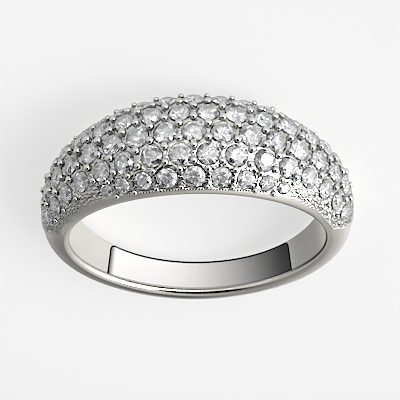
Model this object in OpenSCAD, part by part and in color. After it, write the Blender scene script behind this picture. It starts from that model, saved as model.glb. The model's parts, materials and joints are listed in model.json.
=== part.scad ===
// Pave ring: a domed band with five staggered rows of round cut stones, lying on its side.
// Built in ring coordinates first: the finger axis is Y, the middle of the dome is at the top
// of Z, and the turn is the angle round the finger from there. at_rest() then lays it down.

/* [Band] */
// Inside diameter of the ring
bore_d = 17; // [15:0.5:21]
// Width of the band across the middle of the dome
dome_w = 7.38; // [6.6:0.02:8.4]
// Thickness of the metal at the middle of the dome
dome_t = 2.34; // [2:0.02:2.8]
// Width of the shank opposite the dome
shank_w = 2.66; // [2:0.02:3.6]
// Thickness of the shank opposite the dome
shank_t = 1.6; // [1.3:0.05:2]
// How the width falls off from the dome to the shank, 1 being an even taper
width_fall = 1.39; // [1:0.01:1.8]
// How the thickness falls off from the dome to the shank
thickness_fall = 1.82; // [1:0.01:2.4]
// Squareness of the dome's cross section, 2 being an ellipse
dome_power = 1.95; // [1.6:0.05:2.4]
// Squareness of the shank's cross section
shank_power = 2.9; // [2:0.05:3.4]
// Size of the rounding between the flanks and the bore
inner_round = 0.33; // [0.2:0.01:0.45]

/* [Stones] */
// Table width as a share of the stone's diameter
table_share = 0.58; // [0.5:0.01:0.65]
// Height of the crown as a share of the diameter
crown_share = 0.15; // [0.1:0.01:0.18]
// Depth of the pavilion as a share of the diameter
pavilion_share = 0.43; // [0.38:0.01:0.45]
// Thickness of the girdle
girdle_t = 0.04; // [0.02:0.01:0.08]
// How far the middle of the girdle sits below the metal's surface
girdle_sink = 0.08; // [0.04:0.01:0.12]
// Gap between a stone and its seat
seat_gap = 0.03; // [0.02:0.01:0.05]

/* [Hidden] */

bore_r = bore_d / 2;
sections_round = 72;
flank_steps = 7;
corner_steps = 2;
inside_reach = 0.6;
corner_overrun = 0.03;
bore_length = 3 * dome_w;
bore_sides = 180;
seat_sides = 24;
mouth_height = 3;
table_corners = 8;
girdle_corners = 2 * table_corners;
turn_step = 0.5;
across_step = 0.01;
lean_limit = 30;
lean_tries = 24;

// Half rows of stones, from the middle of the dome towards one shoulder.
// Columns: turn in degrees, place across as a share of half the width, diameter.
crown_row = [
    [0, 0, 1.6],
    [10.2, 0, 1.6],
    [20.4, 0, 1.6],
    [30.6, 0, 1.55],
    [40.8, 0, 1.55],
    [51, 0, 1.5],
    [61.2, 0, 1.45],
    [71.4, 0, 1.35],
    [81.2, 0, 1.1],
];
second_row = [
    [5.1, 0.435, 1.5],
    [15.5, 0.435, 1.5],
    [26.4, 0.445, 1.5],
    [36.5, 0.465, 1.45],
    [47, 0.5, 1.4],
    [57.3, 0.545, 1.35],
    [67, 0.59, 1.25],
    [76.5, 0.6, 1.05],
];
outer_row = [
    [0, 0.806, 1.45],
    [10.5, 0.806, 1.35],
    [20.3, 0.808, 1.2],
    [29.3, 0.815, 1.05],
    [37, 0.83, 0.9],
];
crown_last = len(crown_row) - 1;
second_last = len(second_row) - 1;
outer_last = len(outer_row) - 1;

// Stones of a whole row by number: the crown and outer rows count from -last to last, with 0 in
// the middle, and the second row from -last - 1 to last, with no stone in the middle.
function mirrored(stone, side, flank) = [side * stone[0], flank * stone[1], stone[2]];
function crown(k) = mirrored(crown_row[abs(k)], sign(k), 1);
function second(k, flank) =
    k < 0 ? mirrored(second_row[-k - 1], -1, flank) : mirrored(second_row[k], 1, flank);
function outer(k, flank) = mirrored(outer_row[abs(k)], sign(k), flank);
stones = [
    for (k = [-crown_last:crown_last]) crown(k),
    for (flank = [-1, 1], k = [-second_last - 1:second_last]) second(k, flank),
    for (flank = [-1, 1], k = [-outer_last:outer_last]) outer(k, flank),
];

// Size of the band's cross section at a turn.
function ease(turn, power) = pow((1 + cos(turn)) / 2, power);
function half_width(turn) = (shank_w + (dome_w - shank_w) * ease(turn, width_fall)) / 2;
function thickness(turn) = shank_t + (dome_t - shank_t) * ease(turn, thickness_fall);
function power(turn) = shank_power + (dome_power - shank_power) * ease(turn, 1);

// One side of a cross section from the crest to the inside of the bore, as [radius, across]:
// a superellipse down the flank, a curve round the inner corner, then a point inside the bore.
function flank_points(turn) =
    let (w = half_width(turn), t = thickness(turn), n = power(turn))
    let (last = acos(pow(inner_round / t, n / 2)), foot = w * pow(sin(last), 2 / n))
    let (rim = w - inner_round, inside = bore_r - corner_overrun)
    [
        for (i = [0:flank_steps]) let (a = last * i / flank_steps)
            [bore_r + t * pow(cos(a), 2 / n), w * pow(sin(a), 2 / n)],
        for (i = [1:corner_steps]) let (u = i / corner_steps)
            [
                (1 - u) * (1 - u) * (bore_r + inner_round) + 2 * u * (1 - u) * bore_r + u * u * inside,
                (1 - u) * (1 - u) * foot + 2 * u * (1 - u) * w + u * u * rim
            ],
        [bore_r - inside_reach, rim],
    ];

// The whole closed cross section, from one inside point over the crest to the other.
function section(turn) =
    let (side = flank_points(turn), n = len(side))
    [
        for (i = [n - 1:-1:1]) [side[i][0], -side[i][1]],
        for (p = side) p,
    ];

// A point on the band's outer surface, and the frame that a stone stands in there, with its
// third axis straight out of the metal.
function skin_point(turn, across) =
    let (n = power(turn), r = bore_r + thickness(turn) * pow(1 - pow(abs(across), n), 1 / n))
    [r * sin(turn), across * half_width(turn), r * cos(turn)];
function unit(v) = v / norm(v);

function skin_frame(turn, across) =
    let (along = unit(skin_point(turn + turn_step, across) - skin_point(turn - turn_step, across)))
    let (over = skin_point(turn, across + across_step) - skin_point(turn, across - across_step))
    let (out = unit(cross(along, over)), side = cross(out, along), p = skin_point(turn, across))
    [
        [along.x, side.x, out.x, p.x],
        [along.y, side.y, out.y, p.y],
        [along.z, side.z, out.z, p.z],
        [0, 0, 0, 1],
    ];

// The ring lies on its side and touches the floor with the dome's edge and the shank's edge,
// so it leans until both reach equally far down.
function reach_down(turn, lean) =
    max([for (p = section(turn)) p[1] * cos(lean) - cos(turn) * p[0] * sin(lean)]);
function settled(low, high, tries) =
    let (lean = (low + high) / 2)
    tries == 0 ? lean
    : reach_down(0, lean) > reach_down(180, lean) ? settled(lean, high, tries - 1)
    : settled(low, lean, tries - 1);
rest_lean = settled(0, lean_limit, lean_tries);
rest_lift = reach_down(0, rest_lean);
table_rise = crown_share * crown_row[0][2] + girdle_t / 2 - girdle_sink;
dome_reach = (bore_r + dome_t + table_rise) * cos(rest_lean);
shank_reach = max([for (p = section(180)) p[0] * cos(rest_lean) + p[1] * sin(rest_lean)]);
rest_shift = (dome_reach - shank_reach) / 2;

module at_rest() {
    translate([0, rest_shift, rest_lift])
        rotate([rest_lean - 90, 0, 180])
            children();
}

// The outer skin of the band, closed a little inside the bore.
module skin() {
    rings = [for (i = [0:sections_round - 1]) section(360 * i / sections_round)];
    count = len(rings[0]);
    points = [
        for (i = [0:sections_round - 1], p = rings[i])
            let (turn = 360 * i / sections_round)
            [p[0] * sin(turn), p[1], p[0] * cos(turn)],
    ];
    faces = [
        for (i = [0:sections_round - 1], j = [0:count - 1])
            let (a = i * count, b = (i + 1) % sections_round * count, k = (j + 1) % count)
            each [[a + j, b + j, b + k], [a + j, b + k, a + k]],
    ];
    polyhedron(points, faces);
}

// The hole that is drilled for a stone: a cone under the pavilion, a groove for the girdle, a
// slope over the crown, and a mouth that widens above the table.
module seat(d) {
    groove_r = d / 2 + seat_gap + girdle_t / 2;
    table_r = table_share * d / 2 + seat_gap;
    top = crown_share * d + girdle_t / 2 + seat_gap;
    rotate_extrude($fn = seat_sides)
        polygon([
            [0, -pavilion_share * d - girdle_t / 2 - seat_gap],
            [groove_r, 0],
            [table_r, top],
            [groove_r, mouth_height * top],
            [0, mouth_height * top],
        ]);
}

// A round cut stone: a table with eight corners, a crown of eight points, a girdle with sixteen
// corners and a pavilion. The middle of the girdle is the origin.
function ring(n, radius, z) =
    [for (i = [0:n - 1]) [radius * cos(360 * i / n), radius * sin(360 * i / n), z]];
module cut_stone(d) {
    r = d / 2;
    points = concat(
        ring(table_corners, table_share * r, girdle_t / 2 + crown_share * d),
        ring(girdle_corners, r, girdle_t / 2),
        ring(girdle_corners, r, -girdle_t / 2),
        [[0, 0, -girdle_t / 2 - pavilion_share * d]]
    );
    upper = table_corners;
    lower = upper + girdle_corners;
    culet = lower + girdle_corners;
    faces = [
        [for (i = [table_corners - 1:-1:0]) i],
        for (i = [0:table_corners - 1])
            let (j = (i + 1) % table_corners, g = upper + 2 * i, h = upper + 2 * j)
            each [[i, g + 1, g], [i, j, g + 1], [j, h, g + 1]],
        for (i = [0:girdle_corners - 1])
            let (j = (i + 1) % girdle_corners)
            each [[upper + i, upper + j, lower + j, lower + i], [lower + i, lower + j, culet]],
    ];
    polyhedron(points, faces);
}

// Cast band: dome, shoulders and shank in one piece, with a drilled seat for each stone.
module band() {
    color("#c9c6c2")
        at_rest()
            difference() {
                skin();
                rotate([90, 0, 0])
                    cylinder(h = bore_length, r = bore_r, center = true, $fn = bore_sides);
                for (s = stones)
                    multmatrix(skin_frame(s[0], s[1]))
                        translate([0, 0, -girdle_sink])
                            seat(s[2]);
            }
}

// The field of stones, each clear of its seat.
module pave_stones() {
    color("#dfe3ea")
        at_rest()
            for (s = stones)
                multmatrix(skin_frame(s[0], s[1]))
                    translate([0, 0, -girdle_sink])
                        cut_stone(s[2]);
}

band();
pave_stones();
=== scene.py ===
"""Pave ring: a domed white gold band with five staggered rows of brilliant cut stones.

Shapes are worked out in ring coordinates, in millimetres: the finger axis is Y, the middle of the
dome is at the top of Z, and a turn is the angle round the finger from there. laid_down() then
puts them where the ring rests on its side, in metres.
"""
import json
import math

import bpy
import numpy as np
from mathutils import Matrix, Vector


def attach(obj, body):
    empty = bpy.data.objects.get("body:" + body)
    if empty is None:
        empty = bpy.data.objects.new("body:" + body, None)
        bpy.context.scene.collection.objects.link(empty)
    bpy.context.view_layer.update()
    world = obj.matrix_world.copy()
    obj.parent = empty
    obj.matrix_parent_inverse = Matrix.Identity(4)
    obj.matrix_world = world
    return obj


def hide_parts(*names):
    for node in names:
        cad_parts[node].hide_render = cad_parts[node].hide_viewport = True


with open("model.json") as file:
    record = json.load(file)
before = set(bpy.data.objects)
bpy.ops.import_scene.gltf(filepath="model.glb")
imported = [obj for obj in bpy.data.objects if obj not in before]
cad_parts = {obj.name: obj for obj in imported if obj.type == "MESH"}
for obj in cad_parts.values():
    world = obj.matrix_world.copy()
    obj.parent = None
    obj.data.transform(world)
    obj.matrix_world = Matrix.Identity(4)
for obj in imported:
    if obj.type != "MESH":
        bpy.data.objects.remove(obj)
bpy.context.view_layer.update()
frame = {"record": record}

MM = 0.001
FINGER = frame["record"]["mounts"][0]

# Band, in millimetres. The falls say how fast its width and thickness fall from the dome to the
# shank, and the powers how square its section is.
BORE_R = FINGER["dims"]["r_mm"]
DOME_W = 7.38
DOME_T = 2.34
SHANK_W = 2.66
SHANK_T = 1.6
WIDTH_FALL = 1.39
THICKNESS_FALL = 1.82
DOME_POWER = 1.95
SHANK_POWER = 2.9
INNER_ROUND = 0.45

# Stones: reaches are shares of the radius, the height and the depth are shares of the diameter
TABLE_REACH = 0.58
STAR_REACH = 0.77
LOWER_REACH = 0.24
CROWN_HEIGHT = 0.15
PAVILION_DEPTH = 0.43
FACETS_PER_EIGHTH = 9
CROWN_FACETS_PER_EIGHTH = 4

# Their girdles and seats, in millimetres. Metal further than STONE_ZONE above or below a girdle
# doesn't belong to that stone.
GIRDLE_T = 0.04
GIRDLE_SINK = 0.08
SEAT_GAP = 0.03
STONE_ZONE = 0.8
FAR_AWAY = 9.0

# How clear the facets are, from 0 to 1: the crown's random dark and bright facets and the tables'
# varying tones are painted reflections, the stones' sparkle
TABLE_TONES = (0.85, 1)
CROWN_TONES = (0.0, 0.8, 1.0)
CROWN_TONE_SHARES = (0.16, 0.24, 0.6)
OTHER_TONE = 0.9

# Half rows of stones from the middle of the dome towards one shoulder. Columns: turn in degrees,
# place across as a share of half the width, diameter in millimetres.
CROWN_ROW = np.array([
    [0, 0, 1.6],
    [10.2, 0, 1.6],
    [20.4, 0, 1.6],
    [30.6, 0, 1.55],
    [40.8, 0, 1.55],
    [51, 0, 1.5],
    [61.2, 0, 1.45],
    [71.4, 0, 1.35],
    [81.2, 0, 1.1],
])
SECOND_ROW = np.array([
    [5.1, 0.435, 1.5],
    [15.5, 0.435, 1.5],
    [26.4, 0.445, 1.5],
    [36.5, 0.465, 1.45],
    [47, 0.5, 1.4],
    [57.3, 0.545, 1.35],
    [67, 0.59, 1.25],
    [76.5, 0.6, 1.05],
])
OUTER_ROW = np.array([
    [0, 0.806, 1.45],
    [10.5, 0.806, 1.35],
    [20.3, 0.808, 1.2],
    [29.3, 0.815, 1.05],
    [37, 0.83, 0.9],
])

# Beads of metal that hold the stones, in millimetres, apart from the places across, which are
# shares of half the width. Profiles go out and up, in shares of a bead's radius.
BEAD_R = 0.29
RIM_BEAD_R = 0.2
SHOULDER_BEAD_R = 0.15
SMALLEST_BEAD = 0.11
BEAD_LAP = 0.15
RIM_PLACE = 0.925
SHOULDER_STEP = 0.22
BEAD_PROFILE = [(0.9, -0.9), (0.96, 0), (1, 0.35), (0.94, 0.75), (0.7, 1.08), (0.3, 1.25)]
BEAD_SIDES = 12
# Below this height, in shares of a bead's radius, painted shade darkens a bead towards its foot
BEAD_SHADE_BELOW = 0.7

# The finer grains along the field's edges, which end at a turn in degrees
MILGRAIN_R = 0.06
MILGRAIN_PITCH = 0.19
MILGRAIN_END = 30
MILGRAIN_HEIGHT = 0.7
MILGRAIN_PROFILE = [(1, -0.9), (0.95, -0.3), (0.6, 0.1)]
MILGRAIN_SIDES = 8
# Below this height painted shade darkens a grain; it lies above the whole grain, so all of it is dark
MILGRAIN_SHADE_BELOW = 1.3

# The cut field: its edge across as a share of half the width, and its round ends in degrees
FIELD_EDGE = 0.958
SHOULDER_DIP = 0.04
SHOULDER_DIP_AT = 40
SHOULDER_DIP_SPAN = 15
FIELD_END = 89
FIELD_END_CURVE = 11.5

# How deep it is cut and how rough it is, in millimetres. The grain is blurred a number of times
# and kept within a multiple of its own spread.
CREVICE_SINK = 0.07
FIELD_SINK = 0.02
GRAIN = 0.02
SHOULDER_GRAIN = 0.055
GRAIN_BLUR = 2
GRAIN_LIMIT = 1.6
EDGE_GROOVE = 0.1
END_LIP = 0.07
FULL_DEPTH = 0.2

# Where the cutting comes and goes: turns from the middle of the dome, in radians
MIDDLE_TURNS = (0.45, 0.65)
SHOULDER_TURNS = (0.45, 0.75)
END_TURNS = (1.1, 1.3)

# Distances outside a stone's girdle, in millimetres: a seat's rim, and the gaps over which the metal
# between stones turns rough and rises to the open field
SEAT_RIM = (-0.03, 0.02)
ROUGH_GAP = (0.1, 0.25)
OPEN_GAP = (0.12, 0.3)

# Distances inside the field's edge, in millimetres. What is added to the edge's two ends aside from
# the middle makes it softer there.
EDGE_OUT = -0.03
EDGE_IN = 0.07
EDGE_OUT_ASIDE = -0.1
EDGE_IN_ASIDE = 0.25
GROOVE_AT = 0.1
GROOVE_WIDTH = 0.07
LIP_AT = -0.06
LIP_WIDTH = 0.07

# The polished stretch of the bore, in millimetres from the shank's middle, less than 0 to the right
# in the photograph, and from the far rim. Its colour is a painted reflection, from dark to light,
# with a soft painted shade at its left end and a painted shade line round its edge.
PANEL_REACH = 6.75
PANEL_SLANT = 0.022
PANEL_MARGIN = -0.3
PANEL_CORNER = 0.55
PANEL_LINE = 0.21
PANEL_REFLECTION_DARK_TO_LIGHT = (-6.8, 2.5)
PANEL_END_SHADE = (PANEL_REACH - 0.6, PANEL_REACH - 0.1)
PANEL_END_SHADE_STRENGTH = 0.8

# Painted shade on stretches of the bore and of the shank's outside: the middle's place along the
# bore, how far from it the shade is even and where it ends, in millimetres, and its strength. The
# outside's keeps off the turns nearer to the middle of the dome than one in radians.
BORE_PAINTED_SHADE = (-8.6, 0.8, 3.8, 0.75)
OUTSIDE_PAINTED_SHADE = (6.5, 5, 9.5, 0.85)
OUTSIDE_PAINTED_SHADE_FROM_TURN = 1

# A painted shade line where the near flank's rounding meets the bore, in millimetres: it climbs the
# rounding under the dome, and is strong at the right and faint elsewhere, by metres across the ring
EDGE_LINE = 0.12
EDGE_LINE_SHIFT = 0.05
EDGE_LINE_CLIMB = 7.0
EDGE_LINE_STRENGTH = 0.9
EDGE_LINE_FAINTER = 0.38
EDGE_LINE_FADE = (-0.0078, -0.0045)

# Depths at which painted shade darkens the cut metal and a seat turns pale, as shares of
# FULL_DEPTH
CREVICE_SHADE_DEPTHS = (0.3, 0.85)
SEAT_DEPTHS = (1.1, 1.6)

# Colours. Those in pairs are the darker and the lighter end of a mottled metal.
SATIN_COLOURS = ((0.73, 0.705, 0.665, 1), (0.79, 0.765, 0.725, 1))
BEAD_COLOURS = ((0.5, 0.495, 0.475, 1), (0.76, 0.75, 0.72, 1))
# Painted shade at the beads' feet and over the whole milgrain
BEAD_FOOT_SHADE_COLOUR = (0.16, 0.155, 0.145, 1)
CUT_COLOUR = (0.56, 0.56, 0.53, 1)
# Painted shade down between the stones
CREVICE_SHADE_COLOUR = (0.35, 0.34, 0.32, 1)
SEAT_COLOUR = (0.93, 0.95, 0.98, 1)
# Painted reflection on the polished stretch of the bore: its light end and its dark end
PANEL_REFLECTION_LIGHT_COLOUR = (0.97, 0.96, 0.95, 1)
PANEL_REFLECTION_DARK_COLOUR = (0.04, 0.04, 0.04, 1)
# Painted shade lines: round the polished stretch and at the bore's near edge
SHADE_LINE_COLOUR = (0.03, 0.03, 0.03, 1)
# Painted shade on stretches of the bore and of the shank's outside
BORE_PAINTED_SHADE_COLOUR = (0.26, 0.255, 0.24, 1)
OUTSIDE_PAINTED_SHADE_COLOUR = (0.3, 0.29, 0.26, 1)
# Painted dark reflections in the darker facets
STONE_DARK_REFLECTION_COLOUR = (0.1, 0.11, 0.13, 1)
STONE_CLEAR_COLOUR = (0.96, 0.975, 1, 1)
FLOOR_COLOUR = (0.3, 0.3, 0.305, 1)
GLOW_COLOUR = (1, 1, 1, 1)
AIR_COLOUR = (1, 0.99, 0.975, 1)

# Roughness. The satin's goes up away from the shank's middle, over millimetres along the bore, and
# is mottled by a part of the cloud's range.
SATIN_ROUGHNESS = (0.18, 0.42)
SATIN_REACH = (3, 8)
SATIN_MOTTLE = 0.03
CLOUD_RANGE = (0.3, 0.7)
CUT_ROUGHNESS = 0.25
PANEL_ROUGHNESS = 0.06
BEAD_ROUGHNESS = 0.18
STONE_ROUGHNESS = 0.02
FLOOR_ROUGHNESS = 0.5

# How much light the stones let through, and how much they bend it
STONE_CLEARNESS = 0.83
STONE_BENDING = 2.4

# Noise: cells to the metre and detail, and the height of the finest, in metres
SATIN_CLOUD = (400.0, 4.0)
BEAD_CLOUD = (2500.0, 2.0)
FINE_CLOUD = (9000.0, 2.0)
FINE_HEIGHT = 0.00002
FINE_STRENGTH = 0.08

# Grid of the band's surface: close columns up to a turn in degrees, and wide ones round the shank
DOME_END = 92
DOME_COLUMNS = 500
SHANK_COLUMNS = 72
FLANK_STEPS = 72
CORNER_STEPS = 5
BORE_STEPS = 6
SMALL_STEP = 0.01

# The way the camera looks at the ring, from the photograph's 400 pixel frame: angles in radians,
# the ring's middle in pixels, lens and sensor in millimetres, clipping in metres
CAMERA_TILT = math.radians(59.83)
CAMERA_YAW = 0.016
CAMERA_ROLL = -0.0173
PIXELS_PER_MM = 15.06
RING_AT = (197.52, 212.83)
FRAME_PIXELS = 400
LENS = 1000
SENSOR = 36
CLIPPING = (0.01, 10)

# The floor, in metres: half its side, and the light that it gives off near the ring and away
FLOOR_HALF = 3
FLOOR_GLOW_REACH = (0.015, 0.06)
FLOOR_GLOW = (0.61, 0.49)

# The one square lamp, in metres and watts, which looks at the ring
KEY_AT = (-0.28, 0.02, 0.30)
KEY_SIZE = 0.16
KEY_POWER = 0.35

# Dim light from above, and soft panels of light round the ring. Columns: direction, cosines of the
# angles at which the light begins and is full, strength.
AIR = ((0, 0, 1), -1, 0.3, 0.03)
STUDIO_PANELS = [
    ((0, 1, 0), -0.9, 0.3, 0.19),
    ((-0.75, 0.15, 0.65), 0.35, 0.95, 0.58),
    ((-0.8, -0.7, 0.1), 0.5, 1.0, 1.7),
    ((1, -0.1, 0.1), 0.5, 1.0, 0.3),
    ((-0.3, 1, 0.4), 0.5, 1.0, 0.13),
    ((-0.1, -1, 0.15), 0.6, 1.0, 0.35),
    ((0.55, -0.75, 0.3), 0.7, 1.0, 0.6),
]

# Many small lamps, which make the stones sparkle: the part of the studio that they fill, in the
# same columns, how close together they are, and the sizes of a lamp's full light and of its edge
LAMPS = ((-0.7, -0.75, 0.12), 0.1, 0.8, 6.0)
LAMP_CLOSENESS = 5.5
LAMP_SIZES = (0.32, 0.42)

# A dark card over the front of the ring, in the same columns
DARK_CARD = ((0.03, -0.4, 0.92), 0.85, 0.9, 0.95)

# How much the picture is sharpened, from 0 to 1
CRISPNESS = 0.25

rng = np.random.default_rng(7)


def laid_down(points):
    """Ring coordinates in millimetres to the row's frame in metres: half a turn about the upright,
    after the finger axis is laid back to the finger mount's own axis."""
    _, back, up = FINGER["axis"]
    _, shift, lift = FINGER["pos_m"]
    x, y, z = points[..., 0] * MM, points[..., 1] * MM, points[..., 2] * MM
    return np.stack([-x, shift - back * y - up * z, lift - up * y + back * z], -1)


# The band's shape

def ease(turn, power):
    """1 at the middle of the dome, falling to 0 opposite it: ((1 + cos turn) / 2) ^ power."""
    return ((1 + np.cos(turn)) / 2) ** power


def half_width(turn):
    """Half the shank's width, and as much more of the dome's as the ease says."""
    return (SHANK_W + (DOME_W - SHANK_W) * ease(turn, WIDTH_FALL)) / 2


def thickness(turn):
    """The metal's height over the bore, between the shank's and the dome's in the same way."""
    return SHANK_T + (DOME_T - SHANK_T) * ease(turn, THICKNESS_FALL)


def squareness(turn):
    """The power n of the section, between the shank's and the dome's in the same way."""
    return SHANK_POWER + (DOME_POWER - SHANK_POWER) * ease(turn, 1)


def round_the_finger(turn, radius, across):
    """The point at this radius and turn: (radius sin turn, across, radius cos turn)."""
    return np.stack([radius * np.sin(turn), across, radius * np.cos(turn)], -1)


def skin_point(turn, share):
    """A point on the outer surface: its height over the bore is t (1 - |share|^n)^(1/n)."""
    n = squareness(turn)
    height = thickness(turn) * (1 - np.abs(share) ** n) ** (1 / n)
    return round_the_finger(turn, BORE_R + height, share * half_width(turn))


def unit(v):
    """Each vector over its own length."""
    return v / np.linalg.norm(v, axis=-1, keepdims=True)


def skin_frame(turn, share):
    """The directions along the band, across it and out of the metal, and the place on the skin.
    Along and across come from the points a small step to each side, and out is square to both."""
    step = SMALL_STEP
    along = unit(skin_point(turn + step, share) - skin_point(turn - step, share))
    over = skin_point(turn, share + step) - skin_point(turn, share - step)
    out = unit(np.cross(along, over))
    return along, np.cross(out, along), out, skin_point(turn, share)


def whole_row(half, flank, middle):
    """Both halves of a row on one flank. The middle stone, where there is one, comes once."""
    other = half[1:] if middle else half
    return np.concatenate([other[::-1] * [-1, flank, 1], half * [1, flank, 1]])


def field_edge(turn):
    """The share of half the width at which the cut field ends: a line with a dip at each shoulder."""
    dip = (np.abs(np.degrees(turn)) - SHOULDER_DIP_AT) / SHOULDER_DIP_SPAN
    return FIELD_EDGE - SHOULDER_DIP * np.exp(-dip * dip)


crown = whole_row(CROWN_ROW, 1, True)
seconds = [whole_row(SECOND_ROW, flank, False) for flank in (-1, 1)]
outers = [whole_row(OUTER_ROW, flank, True) for flank in (-1, 1)]
stones = np.concatenate([crown, *seconds, *outers])
stone_r = stones[:, 2] / 2
stone_frames = skin_frame(np.radians(stones[:, 0]), stones[:, 1])


def from_stones(points):
    """For each point its distance outside the girdle of the stone that it is nearest to, measured
    in that stone's own plane. Points under a stone get less than 0."""
    nearest = np.full(points.shape[:-1], FAR_AWAY)
    for place, out, r in zip(stone_frames[3], stone_frames[2], stone_r):
        away = points - place
        rise = away @ out
        outside = np.sqrt(np.maximum((away * away).sum(-1) - rise * rise, 0)) - r
        closer = (outside < nearest) & (np.abs(rise) < STONE_ZONE)
        nearest = np.where(closer, outside, nearest)
    return nearest


def blurred(values, times):
    """Mixes each value of a grid half and half with its four neighbours' mean, a number of times."""
    sides = [(axis, step) for axis in (0, 1) for step in (-1, 1)]
    for _ in range(times):
        values = sum(np.roll(values, step, axis) for axis, step in sides) / 8 + values / 2
    return values


def bump(x, width):
    """A bell round 0, as high as 1: e ^ -(x / width)^2."""
    return np.exp(-(x / width) ** 2)


def step_up(x, low, high):
    """Rises smoothly from 0 at low to 1 at high: s s (3 - 2 s) of the share s of the way."""
    s = np.clip((x - low) / (high - low), 0, 1)
    return s * s * (3 - 2 * s)


def inside_field(turn, share, skin):
    """Distance in millimetres from the edge of the cut field, more than 0 inside it: the least of
    those from its two long edges and its end."""
    edge = field_edge(turn)
    gap = np.linalg.norm(skin - skin_point(turn, edge), axis=-1)
    mirror = np.linalg.norm(skin - skin_point(turn, -edge), axis=-1)
    sideways = np.minimum(gap, mirror) * np.sign(edge - np.abs(share))
    end = np.radians(FIELD_END - FIELD_END_CURVE * share ** 4)
    return np.minimum(sideways, (end - np.abs(turn)) * BORE_R)


def carved(turn, share, skin):
    """How far the metal stands above its smooth skin in the cut field, and how much of it is cut.
    Seats follow each stone's pavilion, the metal sinks where stones stand close together and is
    stippled where it is open, a groove runs under the middle and a lip closes the field's ends."""
    outside = from_stones(skin)
    inside = inside_field(turn, share, skin)
    away = np.abs(turn)
    aside = step_up(away, *MIDDLE_TURNS)
    cut = step_up(inside, EDGE_OUT + EDGE_OUT_ASIDE * aside, EDGE_IN + EDGE_IN_ASIDE * aside)
    stipple = blurred(rng.standard_normal(skin.shape[:-1]), GRAIN_BLUR)
    stipple = np.clip(stipple / stipple.std(), -GRAIN_LIMIT, GRAIN_LIMIT)
    rough = step_up(away, *SHOULDER_TURNS) * step_up(outside, *ROUGH_GAP)
    level = -CREVICE_SINK + (CREVICE_SINK - FIELD_SINK) * step_up(outside, *OPEN_GAP)
    level = level + stipple * (GRAIN + (SHOULDER_GRAIN - GRAIN) * rough)
    level = level - (1 - aside) * EDGE_GROOVE * bump(inside - GROOVE_AT, GROOVE_WIDTH)
    seat = -GIRDLE_SINK - SEAT_GAP - GIRDLE_T + 2 * PAVILION_DEPTH * np.minimum(outside, 0)
    beside = step_up(outside, *SEAT_RIM)
    raised = cut * (beside * level + (1 - beside) * seat)
    lip = step_up(away, *END_TURNS) * bump(inside - LIP_AT, LIP_WIDTH)
    return raised + END_LIP * lip, cut


# Meshes

def quads_of_grid(rows, columns, closed=True):
    """Faces (i, j), (i+1, j), (i+1, j+1), (i, j+1) of a grid whose every row closes on itself, and
    whose last row joins the first where it is closed."""
    i = np.arange(rows if closed else rows - 1)[:, None]
    j = np.arange(columns)[None, :]
    ahead, beside = (i + 1) % rows, (j + 1) % columns
    corners = [i * columns + j, ahead * columns + j, ahead * columns + beside, i * columns + beside]
    return np.stack(np.broadcast_arrays(*corners), -1).reshape(-1, 4)


def mesh_piece(name, points, faces, smooth=True):
    """An object from points in ring coordinates and faces, either an array of four-sided faces
    or a list of faces."""
    mesh = bpy.data.meshes.new(name)
    places = laid_down(points.reshape(-1, 3))
    if isinstance(faces, np.ndarray):
        mesh.vertices.add(len(places))
        mesh.vertices.foreach_set("co", places.ravel())
        mesh.loops.add(faces.size)
        mesh.loops.foreach_set("vertex_index", faces.ravel())
        mesh.polygons.add(len(faces))
        mesh.polygons.foreach_set("loop_start", np.arange(0, faces.size, 4))
        mesh.update(calc_edges=True)
    else:
        mesh.from_pydata(places.tolist(), [], faces)
    mesh.polygons.foreach_set("use_smooth", np.full(len(mesh.polygons), smooth))
    mesh.validate()
    piece = bpy.data.objects.new(name, mesh)
    bpy.context.scene.collection.objects.link(piece)
    return piece


def add_measure(piece, name, values, where="POINT"):
    """Keeps a number for each vertex or face as an attribute that the material reads."""
    layer = piece.data.attributes.new(name, "FLOAT", where)
    layer.data.foreach_set("value", values.astype(np.float32).ravel())


def band_sections(turn):
    """Closed cross sections as radius and place across, one row for each turn, and how many of
    their points lie outside: a superellipse (t cos a^(2/n), w sin a^(2/n)) over the outside, a
    curve round each inner corner and a straight line through the bore."""
    turn = turn[:, None]
    w, t, n = half_width(turn), thickness(turn), squareness(turn)
    over = 2 * FLANK_STEPS + 1
    last = np.arccos((INNER_ROUND / t) ** (n / 2))
    a = last * np.linspace(-1, 1, over)
    over_r = BORE_R + t * np.cos(a) ** (2 / n)
    over_y = w * np.sign(a) * np.abs(np.sin(a)) ** (2 / n)
    u = np.linspace(0, 1, CORNER_STEPS + 1)[1:]
    foot = over_y[:, -1:]
    corner_r = (1 - u) ** 2 * (BORE_R + INNER_ROUND) + 2 * u * (1 - u) * BORE_R + u * u * BORE_R
    corner_r = np.broadcast_to(corner_r, (len(turn), CORNER_STEPS))
    corner_y = (1 - u) ** 2 * foot + 2 * u * (1 - u) * w + u * u * (w - INNER_ROUND)
    bore_y = (w - INNER_ROUND) * np.linspace(1, -1, BORE_STEPS + 1)[1:-1]
    bore_r = np.full_like(bore_y, BORE_R)
    radius = np.concatenate([over_r, corner_r, bore_r, corner_r[:, ::-1]], 1)
    across = np.concatenate([over_y, corner_y, bore_y, -corner_y[:, ::-1]], 1)
    return radius, across, over


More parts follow.
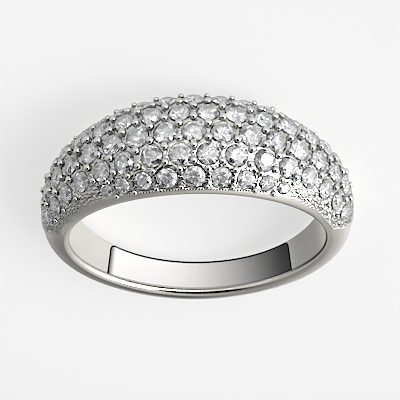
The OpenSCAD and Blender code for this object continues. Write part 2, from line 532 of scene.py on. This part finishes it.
def make_band():
    """The whole band as one closed surface over turn and section, with the cut field carved in.

    Each vertex keeps what the material reads. cut is how much of the metal is cut, and depth how far
    it is sunk, over FULL_DEPTH. bore is 1 on the shank's bore, and skin on its uncut outside. along
    is the arc from the shank's middle, slanted by the place across, and reach is its plain length.
    rim is the distance in from the bore's far edge, and edge that from the painted shade line at
    its near one.
    """
    dome = np.radians(np.linspace(-DOME_END, DOME_END, DOME_COLUMNS))
    shank = np.radians(np.linspace(DOME_END, 360 - DOME_END, SHANK_COLUMNS + 2)[1:-1])
    turn = np.concatenate([dome, shank])
    radius, across, over = band_sections(turn)
    angle = np.broadcast_to(turn[:, None], radius.shape)
    points = round_the_finger(angle, radius, across)
    along = np.roll(points, -1, 0) - np.roll(points, 1, 0)
    beside = np.roll(points, -1, 1) - np.roll(points, 1, 1)
    out = unit(np.cross(along, beside))
    raised, cut = np.zeros(radius.shape), np.zeros(radius.shape)
    field = (slice(0, DOME_COLUMNS), slice(0, over))
    share = across[field] / half_width(angle[field])
    raised[field], cut[field] = carved(angle[field], share, points[field])
    band = mesh_piece("band_metal", points + raised[..., None] * out, quads_of_grid(*radius.shape))
    add_measure(band, "cut", cut)
    add_measure(band, "depth", np.clip(-raised / FULL_DEPTH, 0, 3))
    bore, skin = np.zeros(radius.shape), np.zeros(radius.shape)
    bore[DOME_COLUMNS:, over:over + CORNER_STEPS + BORE_STEPS] = 1
    # The uncut outside off the dome, where the shank's outside takes its painted shade
    off_dome = np.abs(turn) > OUTSIDE_PAINTED_SHADE_FROM_TURN
    skin[:, :over] = (1 - cut[:, :over]) * off_dome[:, None]
    add_measure(band, "bore", bore)
    add_measure(band, "skin", skin)
    from_middle = BORE_R * (np.mod(angle, math.tau) - math.pi)
    add_measure(band, "along", from_middle * (1 + PANEL_SLANT * across))
    add_measure(band, "reach", np.abs(from_middle))
    flat_edge = half_width(angle) - INNER_ROUND
    add_measure(band, "rim", flat_edge - across)
    edge = flat_edge + across + EDGE_LINE_SHIFT * (1 + EDGE_LINE_CLIMB * ease(angle, 1))
    edge[:, :over] = FAR_AWAY
    add_measure(band, "edge", edge)
    return band


def brilliant():
    """A round brilliant as (angle, share of the radius, rise as a share of the diameter, side of
    the girdle) for each corner, and its faces: table, stars, kites, upper halves, girdle, lower
    halves and mains. Kites and mains are flat because their inner corners lie on their planes."""
    eighth, sixteenth = np.arange(8) * math.tau / 8, np.arange(16) * math.tau / 16
    half = math.pi / 8
    slope = CROWN_HEIGHT / (1 - TABLE_REACH)
    star_rise = CROWN_HEIGHT - (STAR_REACH * math.cos(half) - TABLE_REACH) * slope
    lower_drop = PAVILION_DEPTH * (1 - LOWER_REACH * math.cos(half))
    rows = [
        [(a, TABLE_REACH, CROWN_HEIGHT, 1) for a in eighth],
        [(a + half, STAR_REACH, star_rise, 1) for a in eighth],
        [(a, 1, 0, 1) for a in sixteenth],
        [(a, 1, 0, -1) for a in sixteenth],
        [(a + half, LOWER_REACH, -lower_drop, -1) for a in eighth],
        [(0, 0, -PAVILION_DEPTH, -1)],
    ]
    table, star, upper, lower, inner, culet = np.cumsum([0, 8, 8, 16, 16, 8])
    faces = [list(range(8))]
    for k in range(8):
        n, g, m, h = (k + 1) % 8, 2 * k, 2 * k + 1, (2 * k + 2) % 16
        faces += [
            [table + k, star + k, table + n],
            [table + n, star + k, upper + h, star + n],
            [star + k, upper + g, upper + m],
            [star + k, upper + m, upper + h],
            [upper + g, lower + g, lower + m, upper + m],
            [upper + m, lower + m, lower + h, upper + h],
            [lower + g, inner + k, lower + m],
            [lower + m, inner + k, lower + h],
            [lower + h, inner + k, culet, inner + n],
        ]
    return np.array([corner for row in rows for corner in row]), faces


def placed(local, frames):
    """Moves local points, one set for each frame, into ring coordinates: the frame's place, and
    each coordinate times the frame's direction for it."""
    along, side, out, place = (v[:, None, :] for v in frames)
    return local[..., 0:1] * along + local[..., 1:2] * side + local[..., 2:3] * out + place


def repeated(faces, corners, count):
    """The faces of a pattern, repeated for each of count copies that have so many corners."""
    return [[corner + k * corners for corner in face] for k in range(count) for face in faces]


def painted_sparkle_tones(facets):
    """How clear each facet of each stone is, as painted reflections that make the stones sparkle: the
    table's tone is drawn from a range, each facet of the crown has one of a few tones, and all others
    have the same."""
    tones = np.full((len(stones), facets), OTHER_TONE)
    tones[:, 0] = rng.uniform(*TABLE_TONES, len(stones))
    first = 1 + FACETS_PER_EIGHTH * np.arange(8)[:, None]
    crown_facets = (first + np.arange(CROWN_FACETS_PER_EIGHTH)).ravel()
    drawn = rng.choice(CROWN_TONES, (len(stones), len(crown_facets)), p=CROWN_TONE_SHARES)
    tones[:, crown_facets] = drawn
    return tones


def make_brilliants():
    """All stones, each turned about its own axis and sunk to its girdle."""
    pattern, faces = brilliant()
    angle, reach, rise, side = pattern.T
    spin = rng.uniform(0, math.tau / 8, (len(stones), 1))
    r = stone_r[:, None] * reach
    z = stones[:, 2:] * rise + side * GIRDLE_T / 2 - GIRDLE_SINK
    local = np.stack([r * np.cos(angle + spin), r * np.sin(angle + spin), z], -1)
    piece = mesh_piece("brilliants", placed(local, stone_frames),
                       repeated(faces, len(pattern), len(stones)), smooth=False)
    add_measure(piece, "tone", painted_sparkle_tones(len(faces)), "FACE")
    return piece


def turned_dome(profile, sides):
    """A profile of (radius, height) turned about the upright, closed below and above."""
    profile = np.array(profile)
    angle = np.arange(sides) * math.tau / sides
    points = np.stack([
        profile[:, :1] * np.cos(angle),
        profile[:, :1] * np.sin(angle),
        np.broadcast_to(profile[:, 1:], (len(profile), sides)),
    ], -1).reshape(-1, 3)
    faces = quads_of_grid(len(profile), sides, closed=False)[:, ::-1].tolist()
    last = (len(profile) - 1) * sides
    faces += [list(range(sides - 1, -1, -1)), list(range(last, last + sides))]
    return points, faces


def make_domes(name, turn, share, radius, profile, sides, shade_below):
    """One dome for each place on the skin. Each vertex keeps, as its depth, how far it is below the
    height at which painted shade begins towards the foot, both in shares of the dome's radius."""
    shape, faces = turned_dome(profile, sides)
    points = placed(shape[None] * radius[:, None, None], skin_frame(turn, share))
    piece = mesh_piece(name, points, repeated(faces, len(shape), len(radius)))
    add_measure(piece, "depth", np.clip(shade_below - np.tile(shape[:, 2], len(radius)), 0, 1))
    return piece


def bead_places():
    """Turn in degrees, place across and largest radius of each bead: the middle of each three
    stones that meet, the rim between the outer stones, and the shoulders beside the second row."""
    found = []
    beside = SECOND_ROW[len(OUTER_ROW) - 1:]
    for flank, second, outer in zip((-1, 1), seconds, outers):
        def between(*sets):
            means = [np.mean(three, 0) for three in zip(*sets)]
            return [[turn, share, BEAD_R * size / CROWN_ROW[0, 2]] for turn, share, size in means]
        lead = (len(second) - len(outer) + 1) // 2
        near = second[lead:]
        found += between(crown[:-1], crown[1:], second)
        found += between(crown[1:-1], second[:-1], second[1:])
        found += between(outer[:-1], outer[1:], near)
        found += between(outer, second[lead - 1:], near)
        for turn in (outer[:-1, 0] + outer[1:, 0]) / 2:
            found.append([turn, flank * RIM_PLACE, RIM_BEAD_R])
        for side in (-1, 1):
            for turn, share, _ in (beside[:-1] + beside[1:]) / 2:
                found.append([side * turn, flank * (share + SHOULDER_STEP), SHOULDER_BEAD_R])
    return np.array(found)


def make_beads():
    """Beads as large as the room between the stones allows, lapping a little over their edges."""
    places = bead_places()
    turn, share = np.radians(places[:, 0]), places[:, 1]
    room = from_stones(skin_point(turn, share))
    radius = np.minimum(places[:, 2], room + BEAD_LAP)
    kept = radius > SMALLEST_BEAD
    return make_domes("beads", turn[kept], share[kept], radius[kept],
                      BEAD_PROFILE, BEAD_SIDES, BEAD_SHADE_BELOW)


def make_milgrain():
    """A row of fine grains along each edge of the field, under the middle of the dome."""
    end = math.radians(MILGRAIN_END)
    count = int(2 * end * (BORE_R + MILGRAIN_HEIGHT) / MILGRAIN_PITCH)
    turn = np.tile(np.linspace(-end, end, count), 2)
    share = field_edge(turn) * np.repeat([-1, 1], count)
    radius = np.full(2 * count, MILGRAIN_R)
    return make_domes("milgrain", turn, share, radius,
                      MILGRAIN_PROFILE, MILGRAIN_SIDES, MILGRAIN_SHADE_BELOW)


# Finishes

def new_material(name, settings):
    """A material whose shader has these values on its own sockets."""
    material = bpy.data.materials.new(name)
    material.use_nodes = True
    tree = material.node_tree
    shader = tree.nodes["Principled BSDF"]
    for socket, value in settings.items():
        shader.inputs[socket].default_value = value
    return material, tree, shader


def node(tree, kind, **values):
    """A new node, with each named value put on the input or the setting of that name."""
    made = tree.nodes.new(kind)
    for key, value in values.items():
        if key in made.inputs:
            made.inputs[key].default_value = value
        else:
            setattr(made, key, value)
    return made


def wire(tree, source, target):
    """Joins one socket to another."""
    tree.links.new(source, target)


def attribute(tree, name):
    """A number that add_measure() kept on the mesh."""
    return node(tree, "ShaderNodeAttribute", attribute_name=name).outputs["Fac"]


def cloud_of(tree, scale, detail):
    """Soft noise round 0.5, in the piece's own coordinates."""
    cloud = node(tree, "ShaderNodeTexNoise", Scale=scale, Detail=detail)
    wire(tree, node(tree, "ShaderNodeTexCoord").outputs["Object"], cloud.inputs["Vector"])
    return cloud.outputs["Fac"]


def ramp(tree, source, low, high, out_low, out_high, course="LINEAR"):
    """Takes source from low..high to out_low..out_high."""
    made = node(tree, "ShaderNodeMapRange", interpolation_type=course)
    wire(tree, source, made.inputs["Value"])
    ends = {"From Min": low, "From Max": high, "To Min": out_low, "To Max": out_high}
    for key, value in ends.items():
        made.inputs[key].default_value = value
    return made.outputs["Result"]


def maths(tree, operation, first, second=0.0):
    """One sum of two sockets or numbers."""
    made = node(tree, "ShaderNodeMath", operation=operation)
    for socket, value in zip(made.inputs, (first, second)):
        if isinstance(value, (int, float)):
            socket.default_value = value
        else:
            wire(tree, value, socket)
    return made.outputs[0]


def blend_of(tree, factor, first, second, kind="FLOAT"):
    """Goes from first to second, which are sockets, numbers or colours."""
    made = node(tree, "ShaderNodeMix", data_type=kind)
    wire(tree, factor, made.inputs["Factor"])
    sockets = [i for i in made.inputs if i.name in "AB" and i.enabled]
    for socket, value in zip(sockets, (first, second)):
        if isinstance(value, bpy.types.NodeSocket):
            wire(tree, value, socket)
        else:
            socket.default_value = value
    return next(o for o in made.outputs if o.enabled)


def panel_distance(tree):
    """Distance outside the polished stretch of the bore: a box with rounded corners, measured
    along the bore and in from its far rim, less than 0 inside it."""
    along = maths(tree, "ABSOLUTE", attribute(tree, "along"))
    past_end = maths(tree, "SUBTRACT", along, PANEL_REACH - PANEL_CORNER)
    past_rim = maths(tree, "SUBTRACT", PANEL_MARGIN + PANEL_CORNER, attribute(tree, "rim"))
    ways = [maths(tree, "MAXIMUM", way, 0.0) for way in (past_end, past_rim)]
    squares = [maths(tree, "POWER", way, 2.0) for way in ways]
    corner = maths(tree, "SQRT", maths(tree, "ADD", *squares))
    within = maths(tree, "MINIMUM", maths(tree, "MAXIMUM", past_end, past_rim), 0.0)
    return maths(tree, "SUBTRACT", maths(tree, "ADD", corner, within), PANEL_CORNER)


def painted_shade_of(tree, part, middle, even, end, strength):
    """A stretch of painted shade on one part of the band: strength up to the distance even from its
    middle along the bore, falling to 0 at end."""
    away = maths(tree, "ABSOLUTE", maths(tree, "SUBTRACT", attribute(tree, "along"), middle))
    shade = ramp(tree, away, even, end, strength, 0, "SMOOTHSTEP")
    return maths(tree, "MULTIPLY", part, shade)


def near_edge_shade_line(tree):
    """The painted shade line's strength within half its width of the near rounding's foot, times its
    fading from the right side of the ring to the left."""
    away = maths(tree, "ABSOLUTE", attribute(tree, "edge"))
    line = ramp(tree, away, EDGE_LINE / 2, EDGE_LINE, EDGE_LINE_STRENGTH, 0, "SMOOTHSTEP")
    place = node(tree, "ShaderNodeSeparateXYZ")
    wire(tree, node(tree, "ShaderNodeTexCoord").outputs["Object"], place.inputs["Vector"])
    fade = ramp(tree, place.outputs["X"], *EDGE_LINE_FADE, 1, EDGE_LINE_FAINTER, "SMOOTHSTEP")
    return maths(tree, "MULTIPLY", line, fade)


def white_gold():
    """Satin metal, polished on a stretch of the bore, with painted reflection and painted shade laid
    over it by place along the bore. The cut field has painted shade down between the stones and is
    pale at the bottom of the seats. Colours are laid over each other in order, each as strongly as
    its mask says."""
    material, tree, shader = new_material("white_gold", {"Metallic": 1})
    cloud = cloud_of(tree, *SATIN_CLOUD)
    cut, depth, along = (attribute(tree, name) for name in ("cut", "depth", "along"))
    bore, skin = (maths(tree, "GREATER_THAN", attribute(tree, name), 0.5) for name in ("bore", "skin"))
    distance = panel_distance(tree)
    panel = maths(tree, "MULTIPLY", bore, maths(tree, "LESS_THAN", distance, 0.0))
    # Painted shade: a dark line round the polished stretch's edge, and its soft dark left end
    panel_edge_shade = ramp(tree, distance, -PANEL_LINE, -PANEL_LINE / 2, 0, 1, "SMOOTHSTEP")
    # Painted shade at the polished stretch's soft left end
    soft_end_shade = ramp(tree, along, *PANEL_END_SHADE, 0, PANEL_END_SHADE_STRENGTH, "SMOOTHSTEP")
    panel_edge_shade = maths(tree, "MULTIPLY", panel, maths(tree, "MAXIMUM", panel_edge_shade, soft_end_shade))
    # Painted reflection: the polished stretch runs from dark at the right to light at the left
    reflection_darkness = ramp(tree, along, *PANEL_REFLECTION_DARK_TO_LIGHT, 1, 0, "SMOOTHSTEP")
    polished = blend_of(tree, reflection_darkness, PANEL_REFLECTION_LIGHT_COLOUR, PANEL_REFLECTION_DARK_COLOUR, "RGBA")
    tone = blend_of(tree, cloud, *SATIN_COLOURS, "RGBA")
    for mask, colour in [
        (cut, CUT_COLOUR),
        # painted shade on stretches of the bore and of the shank's outside
        (painted_shade_of(tree, bore, *BORE_PAINTED_SHADE), BORE_PAINTED_SHADE_COLOUR),
        (painted_shade_of(tree, skin, *OUTSIDE_PAINTED_SHADE), OUTSIDE_PAINTED_SHADE_COLOUR),
        # painted reflection on the polished stretch
        (panel, polished),
        # painted shade round the polished stretch
        (panel_edge_shade, SHADE_LINE_COLOUR),
        # painted shade line at the bore's near edge
        (near_edge_shade_line(tree), SHADE_LINE_COLOUR),
        # painted shade down between the stones
        (ramp(tree, depth, *CREVICE_SHADE_DEPTHS, 0, 1), CREVICE_SHADE_COLOUR),
        (ramp(tree, depth, *SEAT_DEPTHS, 0, 1), SEAT_COLOUR),
    ]:
        tone = blend_of(tree, mask, tone, colour, "RGBA")
    wire(tree, tone, shader.inputs["Base Color"])
    mottle = ramp(tree, cloud, *CLOUD_RANGE, -SATIN_MOTTLE, SATIN_MOTTLE)
    satin = ramp(tree, attribute(tree, "reach"), *SATIN_REACH, *SATIN_ROUGHNESS, "SMOOTHSTEP")
    rough = blend_of(tree, cut, maths(tree, "ADD", mottle, satin), CUT_ROUGHNESS)
    wire(tree, blend_of(tree, panel, rough, PANEL_ROUGHNESS), shader.inputs["Roughness"])
    relief = node(tree, "ShaderNodeBump", Strength=FINE_STRENGTH, Distance=FINE_HEIGHT)
    wire(tree, cloud_of(tree, *FINE_CLOUD), relief.inputs["Height"])
    wire(tree, relief.outputs["Normal"], shader.inputs["Normal"])
    return material


def bead_metal():
    """Bright mottled metal, with painted shade darkening it by its depth towards the foot."""
    material, tree, shader = new_material("bright_beads", {
        "Metallic": 1,
        "Roughness": BEAD_ROUGHNESS,
    })
    metal = blend_of(tree, cloud_of(tree, *BEAD_CLOUD), *BEAD_COLOURS, "RGBA")
    # Painted shade towards the foot
    tone = blend_of(tree, attribute(tree, "depth"), metal, BEAD_FOOT_SHADE_COLOUR, "RGBA")
    wire(tree, tone, shader.inputs["Base Color"])
    return material


def clear_stone():
    """Clear stone with a faint blue haze, each facet as clear as its tone says, which paints dark and
    bright reflections on the facets.
    """
    material, tree, shader = new_material("clear_stone", {
        "Transmission Weight": STONE_CLEARNESS,
        "IOR": STONE_BENDING,
        "Roughness": STONE_ROUGHNESS,
    })
    # Painted reflections: dark and bright facets by their tone
    tone = blend_of(tree, attribute(tree, "tone"), STONE_DARK_REFLECTION_COLOUR, STONE_CLEAR_COLOUR, "RGBA")
    wire(tree, tone, shader.inputs["Base Color"])
    return material


def pale_floor():
    """Pale ground that gives off a little light, by its distance from the ring's middle."""
    material, tree, shader = new_material("pale_floor", {
        "Base Color": FLOOR_COLOUR,
        "Emission Color": GLOW_COLOUR,
        "Roughness": FLOOR_ROUGHNESS,
    })
    away = node(tree, "ShaderNodeVectorMath", operation="LENGTH")
    wire(tree, node(tree, "ShaderNodeTexCoord").outputs["Object"], away.inputs[0])
    glow = ramp(tree, away.outputs["Value"], *FLOOR_GLOW_REACH, *FLOOR_GLOW, "SMOOTHSTEP")
    wire(tree, glow, shader.inputs["Emission Strength"])
    return material


# Studio

def ring_directions():
    """The camera's right, up and backward directions in ring coordinates: tilted away from the
    finger axis, turned by the yaw and rolled about the view."""
    c, s = math.cos(CAMERA_TILT), math.sin(CAMERA_TILT)
    back = np.array([math.sin(CAMERA_YAW), -c * math.cos(CAMERA_YAW), s * math.cos(CAMERA_YAW)])
    up = np.array([0, s, c])
    up = unit(up - (up @ back) * back)
    right = np.cross(up, back)
    cr, sr = math.cos(CAMERA_ROLL), math.sin(CAMERA_ROLL)
    return cr * right + sr * up, cr * up - sr * right, back


def make_camera():
    """A long lens at the photograph's angle to the ring, as far away as brings a millimetre to its
    size in pixels, and moved sideways until the ring stands where the photograph has it."""
    right, up, back = ring_directions()
    middle = FRAME_PIXELS / 2
    aim = ((middle - RING_AT[0]) * right + (RING_AT[1] - middle) * up) / PIXELS_PER_MM
    distance = LENS / SENSOR * FRAME_PIXELS / PIXELS_PER_MM
    start = laid_down(np.zeros(3))
    axes = [Vector(laid_down(v) - start).normalized() for v in (right, up, back)]
    turned = Matrix(axes).transposed().to_4x4()
    data = bpy.data.cameras.new("camera")
    data.lens, data.sensor_width = LENS, SENSOR
    data.clip_start, data.clip_end = CLIPPING
    camera = bpy.data.objects.new("camera", data)
    camera.matrix_world = Matrix.Translation(laid_down(aim + back * distance)) @ turned
    bpy.context.scene.collection.objects.link(camera)
    bpy.context.scene.camera = camera


def make_floor():
    """A large square that the ring lies on."""
    sides = ((-1, -1), (1, -1), (1, 1), (-1, 1))
    mesh = bpy.data.meshes.new("floor")
    mesh.from_pydata([(x * FLOOR_HALF, y * FLOOR_HALF, 0) for x, y in sides], [], [(0, 1, 2, 3)])
    floor = bpy.data.objects.new("floor", mesh)
    bpy.context.scene.collection.objects.link(floor)
    mesh.materials.append(pale_floor())


def make_key_light():
    """One soft lamp, turned towards the ring."""
    data = bpy.data.lights.new("key", "AREA")
    data.shape = "RECTANGLE"
    data.size = data.size_y = KEY_SIZE
    data.energy = KEY_POWER
    light = bpy.data.objects.new("key", data)
    light.location = KEY_AT
    light.rotation_euler = (-Vector(KEY_AT)).to_track_quat("-Z", "Y").to_euler()
    bpy.context.scene.collection.objects.link(light)


def lobe(tree, direction, low, high, strength):
    """Light from round one direction: the direction's cosine taken from low..high to 0..strength."""
    dot = node(tree, "ShaderNodeVectorMath", operation="DOT_PRODUCT")
    wire(tree, node(tree, "ShaderNodeTexCoord").outputs["Generated"], dot.inputs[0])
    dot.inputs[1].default_value = Vector(direction).normalized()
    return ramp(tree, dot.outputs["Value"], low, high, 0, strength, "SMOOTHSTEP")


def make_world():
    """Dim studio air with soft panels and small lamps in it, behind a dark card: the air, the panels
    and the lamps added up, times what the card leaves."""
    world = bpy.data.worlds.new("studio")
    world.use_nodes = True
    bpy.context.scene.world = world
    tree = world.node_tree
    background = tree.nodes["Background"]
    total = lobe(tree, *AIR)
    for studio_panel in STUDIO_PANELS:
        total = maths(tree, "ADD", total, lobe(tree, *studio_panel))
    cells = node(tree, "ShaderNodeTexVoronoi", Scale=LAMP_CLOSENESS)
    wire(tree, node(tree, "ShaderNodeTexCoord").outputs["Generated"], cells.inputs["Vector"])
    lamps = ramp(tree, cells.outputs["Distance"], *LAMP_SIZES, 1, 0, "SMOOTHSTEP")
    total = maths(tree, "ADD", total, maths(tree, "MULTIPLY", lamps, lobe(tree, *LAMPS)))
    left_over = maths(tree, "SUBTRACT", 1.0, lobe(tree, *DARK_CARD))
    wire(tree, maths(tree, "MULTIPLY", total, left_over), background.inputs["Strength"])
    background.inputs["Color"].default_value = AIR_COLOUR


def make_finish():
    """Sharpens the picture a little, as the photograph is."""
    scene = bpy.context.scene
    scene.use_nodes = True
    tree = scene.node_tree
    tree.nodes.clear()
    picture = tree.nodes.new("CompositorNodeRLayers")
    crisp = tree.nodes.new("CompositorNodeFilter")
    crisp.filter_type = "SHARPEN_DIAMOND"
    crisp.inputs["Fac"].default_value = CRISPNESS
    finished = tree.nodes.new("CompositorNodeComposite")
    wire(tree, picture.outputs["Image"], crisp.inputs["Image"])
    wire(tree, crisp.outputs["Image"], finished.inputs["Image"])


def dress(piece, material):
    """Gives a piece its material, and lets it ride the ring."""
    piece.data.materials.append(material)
    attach(piece, "root")


band = make_band()
beads = make_beads()
milgrain = make_milgrain()
brilliants = make_brilliants()
grain_metal = bead_metal()
dress(band, white_gold())
dress(beads, grain_metal)
dress(milgrain, grain_metal)
dress(brilliants, clear_stone())
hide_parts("band")
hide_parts("pave_stones")

bpy.context.scene.view_settings.view_transform = "Standard"
make_finish()
make_floor()
make_key_light()
make_world()
make_camera()
